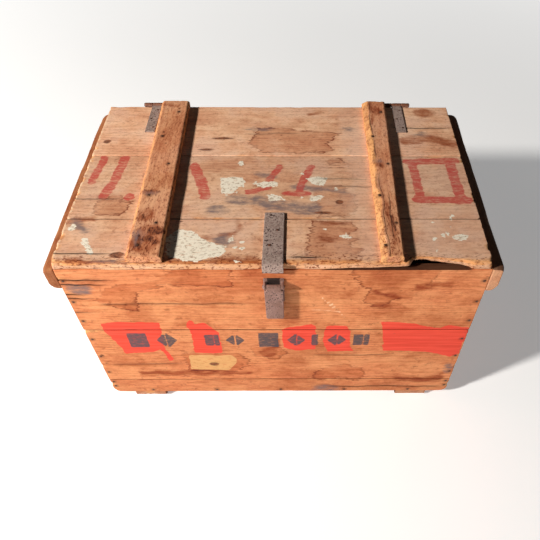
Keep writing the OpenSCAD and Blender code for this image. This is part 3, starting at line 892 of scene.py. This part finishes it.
RIGHT_BATTEN_MARKS = marks_on(
    LID_FACE,
    stain=(5.0, stroke(7, (722, 20), (736, 60), (728, 110)), stroke(9, (734, 430), (742, 560)),
           blot(730, 288, 12, 16), blot(742, 50, 12, 22)),
    knot=(1.0, blot(730, 292, 5, 8), stroke(5, (740, 470), (744, 520))),
    smudge=(3.0, blot(728, 272, 8, 7)),
)


# ---------------------------------------------------------------------------
# The walls
# ---------------------------------------------------------------------------

ROW_SEAMS = {"lower": (HIGH,), "middle": (LOW, HIGH), "upper": (LOW,)}
CORNER_WEAR = 22 * MM

# The lid's front edge has a slit that opens into a break near its right end.
SLIT_START, BREAK_START, BREAK_END = (FRONT_LOW.x + d * MM for d in (560, 770, 908))


def cracks_from(place, start, *cracks):
    """Cracks given in millimetres: across from a place, begin and end along from a start, depth and width."""
    return tuple(
        Crack(place + across * MM, start + begin * MM, start + end * MM, depth * MM, width * MM)
        for across, begin, end, depth, width in cracks
    )


FRONT_CRACKS = {
    "upper": ((-34, BEFORE, 135, 4.0, 3.2), (-49, BEFORE, 120, 3.0, 2.4), (-84, BEFORE, 66, 3.0, 2.6),
              (-98, BEFORE, 78, 3.0, 2.4), (-118, 60, 430, 1.0, 1.8), (-150, BEFORE, 60, 2.0, 2.0)),
    "middle": ((-378, 20, 240, 0.8, 1.6), (-336, 560, 800, 0.7, 1.5)),
    "lower": ((-500, 600, 960, 1.6, 2.0),),
}
BACK_CRACK = (12, 700, 960, 2.0, 2.2)
END_CRACK = (-18, 300, BEYOND, 1.8, 2.0)


def centre_height(node):
    """The height of a board's middle."""
    low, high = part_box(node)
    return (low.z + high.z) / 2


def round_corner(points, side, edge, bottom, radius):
    """Rounds off the lower corner on one side, as seen from the front."""
    centre = np.array([edge - side * radius, bottom + radius])
    reach = points[:, [X, Z]] - centre
    corner = (reach[:, 0] * side > 0) & (reach[:, 1] < 0)
    flat = np.linalg.norm(reach, axis=1)
    square = np.abs(reach).max(axis=1)
    scale = np.where(corner & (flat > 0), square / np.maximum(flat, 1e-9), 1)
    points[:, [X, Z]] = centre + reach * scale[:, None]


class LowestBoard(Plank):
    """The lowest board of the front or back wall. Its two lower corners are worn round."""

    def bend(self, points, rest):
        for side, edge in ((LOW, self.low[X]), (HIGH, self.high[X])):
            round_corner(points, side, edge, self.low[Z], CORNER_WEAR)


class FrontTopBoard(Plank):
    """The front wall's upper board."""

    def softer(self, rest):
        """Its top is crisper than its other edges, as the lid bears on it."""
        return -1.2 * smooth_ramp(rest[:, Z], self.high[Z] - 4 * MM, self.high[Z] - 1 * MM)

    def soiled(self, rest, sides):
        """Its top is painted near black as shade where the lid's edge is broken out above it."""
        inside = smooth_ramp(rest[:, X], SLIT_START, SLIT_START + 40 * MM)
        inside *= 1 - smooth_ramp(rest[:, X], BREAK_END - 6 * MM, BREAK_END + 6 * MM)
        return np.where(sides[:, Z] == HIGH, 0.88 * inside, 0)


def build_walls():
    """The front and back walls and the two end walls, each with three rows of boards."""
    for count, row in enumerate(ROWS):
        long_board = {
            "tone": (0.42, 0.5, 0.56)[count], "pith": ((0.02, 0.10), (-0.05, 0.06), (0.03, 0.05))[count],
            "chips": 3.6 if row == "lower" else 2.8, "end_chips": 1.8, "seams": ROW_SEAMS[row],
        }
        kind = LowestBoard if row == "lower" else Plank
        front_kind = FrontTopBoard if row == "upper" else kind
        front_kind(
            f"front_board_{row}", out=(Y, LOW), seed=11 + 7 * count, age=0.05, marks=FRONT_MARKS,
            cracks=cracks_from(FRONT_HIGH.z, FRONT_LOW.x, *FRONT_CRACKS[row]), **long_board,
        ).make("crate")
        kind(
            f"back_board_{row}", out=(Y, HIGH), seed=51 + 7 * count, age=0.35, marks=BACK_MARKS,
            cracks=cracks_from(centre_height(f"back_board_{row}"), FRONT_LOW.x, BACK_CRACK), **long_board,
        ).make("crate")
        for end, side, seed in (("left", LOW, 71), ("right", HIGH, 101)):
            node = f"{end}_end_board_{row}"
            cracks = cracks_from(centre_height(node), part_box(node)[0].y, END_CRACK)
            Plank(
                node, grain=Y, out=(X, side), seed=seed + 7 * count, age=0.3, tone=(0.45, 0.52, 0.5)[count],
                pith=((0.02, 0.09), (-0.04, 0.05), (0.05, 0.06))[count], seams=ROW_SEAMS[row],
                marks=END_MARKS, cracks=() if row == "lower" else cracks,
            ).make("crate")


# ---------------------------------------------------------------------------
# The floor, the runners and the end cleats
# ---------------------------------------------------------------------------

class Runner(Plank):
    """A runner under the floor. Both its ends are cut off aslant below."""

    def bend(self, points, rest):
        low, rise = self.low[Z], self.high[Z] - self.low[Z]
        from_end = np.minimum(rest[:, Y] - self.low[Y], self.high[Y] - rest[:, Y])
        cut = np.clip(rise / 3 - from_end, 0, None)
        points[:, Z] = low + (points[:, Z] - low) * (1 - cut / rise) + cut


def build_floor():
    """Four floor boards and the two runners that carry them."""
    for count in range(1, 5):
        Plank(
            f"floor_board_{count}", out=(Z, HIGH), seed=130 + 5 * count, step=(9.0, 6.0), age=0.45,
            tone=0.45, grime=0.12, relief=0.5,
        ).make("crate")
    for side, end in ((LOW, "left"), (HIGH, "right")):
        Runner(
            f"{end}_runner", grain=Y, out=(Z, LOW), seed=160 + side, age=0.5, tone=0.4, grime=0.2,
            radius=3.0, chips=5.0, relief=0.8,
        ).make("crate")


@dataclass
class Cleat(Plank):
    """An end cleat. Its lower outer edge is round, and its ends, its outer face and its top are worn away."""

    top_dirt: float = 0.0

    def bend(self, points, rest):
        side = self.out[1]
        depth = self.high[X] - self.low[X]
        end_wear, face_wear, top_wear = 4 * MM, 2 * MM, 9 * MM
        round_share = 0.72
        inner, edge = (self.low[X], self.high[X])[::side]
        round_corner(points, side, edge, self.low[Z], depth * round_share)
        from_end = np.minimum(rest[:, Y] - self.low[Y], self.high[Y] - rest[:, Y])
        pulled = end_wear * (1 - smooth_ramp(from_end, 0, 20 * MM)) ** 2
        outer = np.clip((points[:, X] - inner) * side / depth, 0, 1)
        points[:, X] -= side * pulled * outer
        hollow = face_wear * (0.5 + 0.5 * noise(rest, (0.3, 0.09, 0.08), 61 + side))
        points[:, X] -= side * hollow * outer
        top = smooth_ramp(points[:, Z], self.high[Z] - 20 * MM, self.high[Z])
        points[:, Z] -= top_wear * top * outer ** 3 * (0.7 + 0.3 * noise(rest, (0.2, 0.05, 0.2), 67 + side))

    # Its top is painted dark as shade, the lid's shadow on it.
    def soiled(self, rest, sides):
        return np.where(sides[:, Z] == HIGH, self.top_dirt, 0)


def build_cleats():
    """The two cleats that serve as hand-holds. The left one is dark all over; the right one's top is painted
    dark as the lid's shadow on it.
    """
    dark_all_over = {"age": 0.0, "tone": 0.0, "grime": 0.34}
    # The right cleat's top is painted dark as the lid's shadow.
    shade_on_top = {"age": 0.4, "tone": 0.4, "top_dirt": 0.65}
    for end, side, looks in (("left", LOW, dark_all_over), ("right", HIGH, shade_on_top)):
        Cleat(
            f"{end}_end_cleat", grain=Y, out=(X, side), seed=190 + side, step=(6.0, 3.0), radius=3.0,
            chips=3.5, relief=0.7, seams=(), **looks,
        ).make("crate")


# ---------------------------------------------------------------------------
# The lid
# ---------------------------------------------------------------------------

class LidBoard(Plank):
    """A board of the lid: a little torn all over, chipped along its left end and painted darker underneath as
    shade.
    """

    def torn(self, rest):
        return 0.3

    def fresh(self, rest):
        chipped = smooth_ramp(noise(rest, (1, 0.009, 0.02), 141), 0.1, 0.5)
        return chipped * (1 - smooth_ramp(rest[:, X] - self.low[X], 1.5 * MM, 4.5 * MM))

    # Painted shade over the whole underside.
    def soiled(self, rest, sides):
        return np.where(sides[:, Z] == LOW, 0.45, 0)


class LidFrontBoard(LidBoard):
    """The lid's front board: its front edge is frayed, and broken out underneath near the right end."""

    def inset(self, rest):
        """The distance back from the front edge."""
        return rest[:, Y] - self.low[Y]

    def torn(self, rest):
        return 0.3 + 0.7 * (1 - smooth_ramp(self.inset(rest), 16 * MM, 34 * MM))

    def softer(self, rest):
        """More rounding at the upper front edge, and a little less underneath."""
        near = np.maximum(self.inset(rest), self.high[Z] - rest[:, Z])
        round_over = 6 * (1 - smooth_ramp(near, 8 * MM, 14 * MM))
        round_over *= 0.8 + 0.4 * noise(rest, (0.04, 1, 1), 151)
        return round_over - 1.4 * (1 - smooth_ramp(rest[:, Z] - self.low[Z], 1 * MM, 4 * MM))

    def fresh(self, rest):
        broken = smooth_ramp(rest[:, X], BREAK_START - 8 * MM, BREAK_START + 8 * MM)
        reach = (10 + 9 * layered_noise(rest, (0.05, 1, 1), 143)) * (1 - 0.55 * broken) * MM
        edge = 1 - smooth_ramp(self.inset(rest), reach * 0.5, reach)
        frayed = edge * (0.32 + 0.32 * noise(rest, (0.03, 0.006, 0.006), 147))
        return np.maximum(super().fresh(rest), frayed)

    def bend(self, points, rest):
        break_height, setback, sliver, droop = 17 * MM, 15 * MM, 4.2 * MM, 2.4 * MM
        x, inset = rest[:, X], self.inset(rest)
        low, rise = self.low[Z], self.high[Z] - self.low[Z]
        unbroken = x < BREAK_START - 3 * MM
        slit = np.clip((x - SLIT_START) / (BREAK_START - SLIT_START), 0, 1) * 0.55
        fall = np.clip((BREAK_END - x) / (BREAK_END - BREAK_START - 40 * MM), 0, 1)
        step = smooth_ramp(x, BREAK_START - 3 * MM, BREAK_START + 8 * MM)
        ripple = np.minimum(1, 0.94 + 0.2 * layered_noise(rest, (0.03, 1, 1), 83))
        lift = break_height * ripple
        lift *= np.where(unbroken, slit, np.maximum(0.55 * (1 - step), fall ** 0.7 * step))
        lift = np.where(x < BREAK_END, lift, 0) * (1 - smooth_ramp(inset, 22 * MM, 27 * MM))
        points[:, Z] = low + (points[:, Z] - low) * (1 - lift / rise) + lift
        # Above the break the whole edge is gone, so the rest of the board starts farther back.
        back = setback * step * fall ** 0.6 * (0.85 + 0.25 * layered_noise(rest, (0.022, 1, 1), 85))
        points[:, Y] += np.where(x < BREAK_END, back, 0) * np.clip(1 - inset / (26 * MM), 0, 1)
        # The front edge has lost slivers, in long steps along the grain.
        front = 1 - smooth_ramp(inset, 0, 9 * MM)
        steps = np.maximum(0, layered_noise(rest, (0.085, 0.05, 0.0042), 89, 3) + 0.25)
        points[:, Y] += sliver * steps * front
        drop = smooth_ramp(layered_noise(rest, (0.12, 1, 1), 97), 0.05, 0.6)
        points[:, Z] -= droop * drop * front * smooth_ramp(rest[:, Z], low, self.high[Z])


def build_lid_boards():
    """The lid's three boards."""
    left = LID_LOW.x
    for count, row in enumerate(("front", "middle", "back")):
        node = f"lid_board_{row}"
        low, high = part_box(node)
        from_front = {
            "front": ((30, BEFORE, 150, 1.4, 1.6), (16, 500, 610, 2.0, 2.2)),
            "middle": ((70, BEFORE, 130, 1.2, 1.5),),
            "back": (),
        }[row]
        from_back = {
            "front": (),
            "middle": ((-92, 560, 720, 1.0, 1.5), (-120, 580, 760, 0.8, 1.4)),
            "back": ((-101, 780, 960, 2.0, 2.2), (-128, 380, 560, 0.7, 1.4)),
        }[row]
        kind = LidFrontBoard if row == "front" else LidBoard
        kind(
            node, out=(Z, HIGH), seed=211 + 13 * count, age=0.9, tone=(0.52, 0.48, 0.70)[count], radius=1.8,
            chips=4.2, end_chips=1.4, step=(5.0, 3.0), side_relief=1.0, seam_dirt=0.5,
            seams={"front": (HIGH,), "middle": (LOW,), "back": ()}[row],
            pith=((0.01, 0.12), (-0.02, 0.055), (0.06, 0.08))[count], marks=LID_MARKS,
            cracks=cracks_from(low.y, left, *from_front) + cracks_from(high.y, left, *from_back),
        ).make("lid")


LongEdge = namedtuple("LongEdge", "bevel drop wave fresh_width fresh_strength")


@dataclass
class Batten(Plank):
    """A batten across the lid. It slants or tapers, and each long edge has its own bevel and fresh wood.

    A LongEdge's bevel and drop are how wide its bevel is and how far it falls. They and fresh_width are in
    millimetres.
    """

    long_edges: tuple = ()

    def edges(self, rest):
        """For each long edge: its side, its settings and how far in from it the points lie."""
        insets = (rest[:, X] - self.low[X], self.high[X] - rest[:, X])
        return zip((LOW, HIGH), self.long_edges, insets)

    def place(self, points):
        """Moves points from the batten's box on to its outline."""
        corners = np.array([v.co for v in frame["nodes"][self.node].data.vertices])
        front = corners[corners[:, Y] < self.low[Y] + 1 * MM, X]
        back = corners[corners[:, Y] > self.high[Y] - 1 * MM, X]
        along, across = ((points[:, axis] - self.low[axis]) / (self.high - self.low)[axis] for axis in (Y, X))
        left = front.min() + (back.min() - front.min()) * along
        right = front.max() + (back.max() - front.max()) * along
        moved = points.copy()
        moved[:, X] = left + (right - left) * across
        return moved

    def bend(self, points, rest):
        low, rise = self.low[Z], self.high[Z] - self.low[Z]
        along = rest * (0, 1, 0)
        height = np.full(len(rest), rise)
        for side, edge, inset in self.edges(rest):
            reach = edge.bevel * MM * (1 + edge.wave * layered_noise(along, (1, 0.06, 1), self.seed + side))
            height -= edge.drop * MM * np.clip(1 - inset / reach, 0, 1)
            pull = edge.wave * 3.2 * MM * layered_noise(along, (1, 0.04, 1), self.seed + 5 + side)
            points[:, X] -= side * (1.2 * MM + pull) * np.clip(1 - inset / (18 * MM), 0, 1)
        points[:, Z] = low + (points[:, Z] - low) * height / rise

    def fresh(self, rest):
        amount = np.zeros(len(rest))
        for side, edge, inset in self.edges(rest):
            border = edge.fresh_width * MM * (1 + 0.45 * layered_noise(rest, (1, 0.035, 1), self.seed + side))
            band = 1 - smooth_ramp(inset, border - 1 * MM, border + 1 * MM)
            amount = np.maximum(amount, edge.fresh_strength * band)
        return amount

    def torn(self, rest):
        """A batten is worn and pitted all over, and most of all towards its front end."""
        return 0.55 + 0.45 * smooth_ramp(rest[:, Y], (self.low[Y] + self.high[Y]) / 2, self.low[Y])


def build_battens():
    """The two battens that hold the lid's boards together."""
    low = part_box("right_lid_batten")[0]
    shared = {"grain": Y, "out": (Z, HIGH), "radius": 2.0, "chips": 3.0, "relief": 0.8, "step": (5.0, 2.4),
              "side_relief": 1.2, "pith": (0.0, 0.03), "seams": ()}
    Batten(
        "left_lid_batten", seed=301, age=0.35, tone=0.46, marks=LEFT_BATTEN_MARKS,
        long_edges=(LongEdge(9, 6, 0.25, 8.5, 0.75), LongEdge(6, 4, 0.3, 4, 0.6)), **shared,
    ).make("lid")
    Batten(
        "right_lid_batten", seed=331, age=0.45, tone=0.6, marks=RIGHT_BATTEN_MARKS,
        long_edges=(LongEdge(15, 9, 0.55, 16, 1.0), LongEdge(5, 4, 0.4, 3, 0.5)),
        cracks=cracks_from(low.x, low.y, (19, 330, BEYOND, 0.8, 1.8), (24, BEFORE, 300, 0.7, 1.6),
                           (42, 40, 230, 0.9, 2.0)), **shared,
    ).make("lid")


# ---------------------------------------------------------------------------
# The iron
# ---------------------------------------------------------------------------

def iron_fields(points, node):
    """Rust at the hinge barrels and on the hasp's lower half, pale wear on the straps, and painted shade on
    the hasp's base plate between its ears.
    """
    rust = smooth_ramp(points[:, Y], LID_HIGH.y - 3 * MM, LID_HIGH.y + 4 * MM)
    worn = np.full(len(points), 0.9 if node.endswith("hinge_strap") else 0.0)
    if node == "hasp_strap":
        worn = 0.1 + 0.8 * smooth_ramp(points[:, Y], LID_LOW.y + 40 * MM, LID_LOW.y + 5 * MM)
    if "hinge" not in node:
        rust = np.full(len(points), 0.0 if node == "hasp_strap" else 0.3)
    # The base plate between the ears is painted near black as the shade above the flap.
    pin_low, pin_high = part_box("hasp_pin")
    between_ears = np.abs(points[:, X] - (pin_low.x + pin_high.x) / 2) < 14 * MM
    grime = np.where((node == "hasp_base") & between_ears, 0.9, 0.0)
    return {"rust": rust, "worn": worn, "grime": grime}


def vectors(collection, key):
    """A mesh's points or normals as an array."""
    values = np.empty(len(collection) * 3)
    collection.foreach_get(key, values)
    return values.reshape(-1, 3)


def forge(node, body, grid, pit, seed):
    """Remakes a CAD iron part with softened corners and a pitted skin. grid and pit are in millimetres."""
    rough = bpy.data.objects.new("rough", frame["nodes"][node].data.copy())
    bpy.context.scene.collection.objects.link(rough)
    remesh = rough.modifiers.new("remesh", "REMESH")
    remesh.mode = "VOXEL"
    remesh.voxel_size = grid * MM
    soften = rough.modifiers.new("soften", "SMOOTH")
    soften.factor = 0.5
    soften.iterations = 3
    depsgraph = bpy.context.evaluated_depsgraph_get()
    mesh = bpy.data.meshes.new_from_object(rough.evaluated_get(depsgraph))
    bpy.data.objects.remove(rough)
    points, normals = vectors(mesh.vertices, "co"), vectors(mesh.vertex_normals, "vector")
    faces = [tuple(polygon.vertices) for polygon in mesh.polygons]
    bpy.data.meshes.remove(mesh)
    dents = np.maximum(0, layered_noise(points, (0.004, 0.004, 0.004), seed, 2) - 0.15)
    waves = 0.5 + 0.5 * layered_noise(points, (0.02, 0.02, 0.02), seed + 9, 2)
    points -= normals * (pit * MM * (1.6 * dents + 0.35 * waves))[:, None]
    build_piece(node + "_iron", points, faces, body, IRON, node, iron_fields(points, node))


def build_iron():
    """The hinges and the hasp. The three pins keep their CAD meshes."""
    for side in ("left", "right"):
        forge(f"{side}_hinge_strap", "lid", 0.9, 0.35, 401)
        forge(f"{side}_hinge_plate", "crate", 1.0, 0.35, 411)
    forge("hasp_strap", "lid", 1.0, 0.6, 421)
    forge("hasp_base", "crate", 0.9, 0.3, 431)
    forge("hasp_flap", "hasp_flap", 0.9, 0.45, 441)
    for node in ("left_hinge_pin", "right_hinge_pin", "hasp_pin"):
        pin = frame["nodes"][node]
        pin.data.materials.clear()
        pin.data.materials.append(IRON)


# A nail's rings from its head down: the share of its radius, and the height in millimetres.
HEAD_RINGS = ((0.45, 0.5), (0.8, 0.3), (1.0, 0.0), (0.96, -0.35), (0.45, -0.7))
HEAD_RADIUS = 3.5 * MM
TOP_HEIGHT = 0.55
NAIL_SUNK = 0.3
SHANK_SHARE, SHANK_SHORTER = 0.4, 2
AROUND = 14


def nail_points(centre, facing, length, rng):
    """One nail's points: the middle of its head, then ring by ring down to its point."""
    side = np.roll(facing, 1)
    other = np.cross(facing, side)
    tilt = 0.06 * rng.normal(size=2)
    radius = HEAD_RADIUS * rng.uniform(0.85, 1.1)
    oval = rng.uniform(0.85, 1.0)
    phase = rng.uniform(0, 2 * math.pi)
    turn = 2 * math.pi * np.arange(AROUND) / AROUND
    rings = [(centre + facing * (TOP_HEIGHT - NAIL_SUNK) * MM)[None, :]]
    for share, height in (*HEAD_RINGS, (SHANK_SHARE, SHANK_SHORTER - length / MM)):
        wobble = 1 + 0.07 * np.sin(3 * turn + phase) * (share > 0.5)
        a = radius * share * np.cos(turn) * wobble
        b = radius * share * oval * np.sin(turn) * wobble
        bent = tilt[0] * a + tilt[1] * b if height > -1 else np.zeros(AROUND)
        lift = (height - NAIL_SUNK) * MM + bent
        rings.append(centre + np.outer(a, side) + np.outer(b, other) + np.outer(lift, facing))
    return np.concatenate(rings)


def nail_faces(top):
    """The faces of a nail whose first point has the number top."""
    pairs = [(k, (k + 1) % AROUND) for k in range(AROUND)]
    upper = top + 1
    faces = [(top, upper + k, upper + after) for k, after in pairs]
    for _ in HEAD_RINGS:
        lower = upper + AROUND
        faces += [(upper + k, lower + k, lower + after, upper + after) for k, after in pairs]
        upper = lower
    return faces + [tuple(upper + k for k in reversed(range(AROUND)))]


def build_nails():
    """Each nail: a shank and a low domed head, a little bent and never quite round."""
    rng = np.random.default_rng(77)
    bodies = frame["record"]["behaviour"]["bodies"]
    for node, nails in NAILS.items():
        body = next(name for name, members in bodies.items() if node in members)
        solids = [nail_points(*nail, rng) for nail in nails]
        faces = [face for count in range(len(nails)) for face in nail_faces(count * len(solids[0]))]
        build_piece(node + "_heads", np.concatenate(solids), faces, body, NAIL, node)


# ---------------------------------------------------------------------------
# Stage, light and camera
# ---------------------------------------------------------------------------

def build_stage():
    """A pale floor. It glows a little as painted light, which lights the crate from below and lightens its
    shadow on the floor.
    """
    s = Shader("pale_floor")
    place = s.place()
    cloud = s.noise(place, 1.4, 3, 0.5)
    colour = s.mix(cloud, rgb(246, 246, 245), rgb(240, 240, 239))
    # It glows more far off, for the camera only, so that far off the camera sees it as pale as it is near the
    # crate.
    seen = s.add("ShaderNodeLightPath", output="Is Camera Ray")
    glow = s.ramp(s.length(place), 1.0, 5.0, 0.0, 0.48) * seen + 0.29
    mesh = bpy.data.meshes.new("floor")
    reach = 12.0
    mesh.from_pydata([(-reach, -reach, 0), (reach, -reach, 0), (reach, reach, 0), (-reach, reach, 0)], [],
                     [(0, 1, 2, 3)])
    mesh.materials.append(s.finish(colour, 0.9, cloud, 0.02, 1 * MM, specular=0.1, glow=glow))
    floor = bpy.data.objects.new("floor", mesh)
    bpy.context.scene.collection.objects.link(floor)


def add_area_light(name, place, aim, size, power, colour):
    data = bpy.data.lights.new(name, "AREA")
    data.shape = "DISK"
    data.size = size
    data.energy = power
    data.color = colour
    lamp = bpy.data.objects.new(name, data)
    lamp.location = place
    lamp.rotation_euler = (Vector(aim) - Vector(place)).to_track_quat("-Z", "Y").to_euler()
    bpy.context.scene.collection.objects.link(lamp)


def build_light():
    """A low key light from the left and a little in front, with a soft pale room as fill."""
    world = bpy.data.worlds.new("studio")
    world.use_nodes = True
    tree = world.node_tree
    room = tree.nodes["Background"]
    room.inputs["Color"].default_value = (0.92, 0.96, 1.0, 1.0)
    room.inputs["Strength"].default_value = 0.025
    backdrop = tree.nodes.new("ShaderNodeBackground")
    backdrop.inputs["Color"].default_value = (0.86, 0.86, 0.855, 1.0)
    rays = tree.nodes.new("ShaderNodeLightPath")
    choice = tree.nodes.new("ShaderNodeMixShader")
    links = (rays.outputs["Is Camera Ray"], room.outputs[0], backdrop.outputs[0])
    for source, target in zip(links, choice.inputs):
        tree.links.new(source, target)
    tree.links.new(choice.outputs[0], tree.nodes["World Output"].inputs["Surface"])
    bpy.context.scene.world = world
    middle = (cad_box[0] + cad_box[1]) / 2
    towards_key = Vector((-0.76, -0.42, 0.54)).normalized()
    add_area_light("key", middle + 5.0 * towards_key, middle, 0.42, 356, (1.0, 0.965, 0.92))
    add_area_light("back_fill", middle + Vector((1.4, 3.6, 2.4)), middle, 2.6, 5, (0.96, 0.98, 1.0))


def build_camera():
    """The camera stands in front of the crate, above and a little to the right of its middle."""
    length = FRONT_HIGH.x - FRONT_LOW.x
    pitch, yaw, roll = 50.03, 0.98, 0.67
    turn = Matrix.Identity(4)
    for angle, axis in ((-yaw, "Z"), (90 - pitch, "X"), (roll, "Z")):
        turn = turn @ Matrix.Rotation(math.radians(angle), 4, axis)
    data = bpy.data.cameras.new("camera")
    data.sensor_width = 36
    data.lens = 36.7
    data.shift_x = -0.0683
    data.shift_y = 0.0322
    camera = bpy.data.objects.new("camera", data)
    place = Vector((0.061 * length, FRONT_LOW.y - 0.833 * length, FRONT_HIGH.z + 0.933 * length))
    camera.matrix_world = Matrix.Translation(place) @ turn
    bpy.context.scene.collection.objects.link(camera)
    bpy.context.scene.camera = camera


build_walls()
build_floor()
build_cleats()
build_lid_boards()
build_battens()
build_iron()
build_nails()
build_stage()
build_light()
build_camera()
bpy.context.scene.view_settings.view_transform = "Standard"
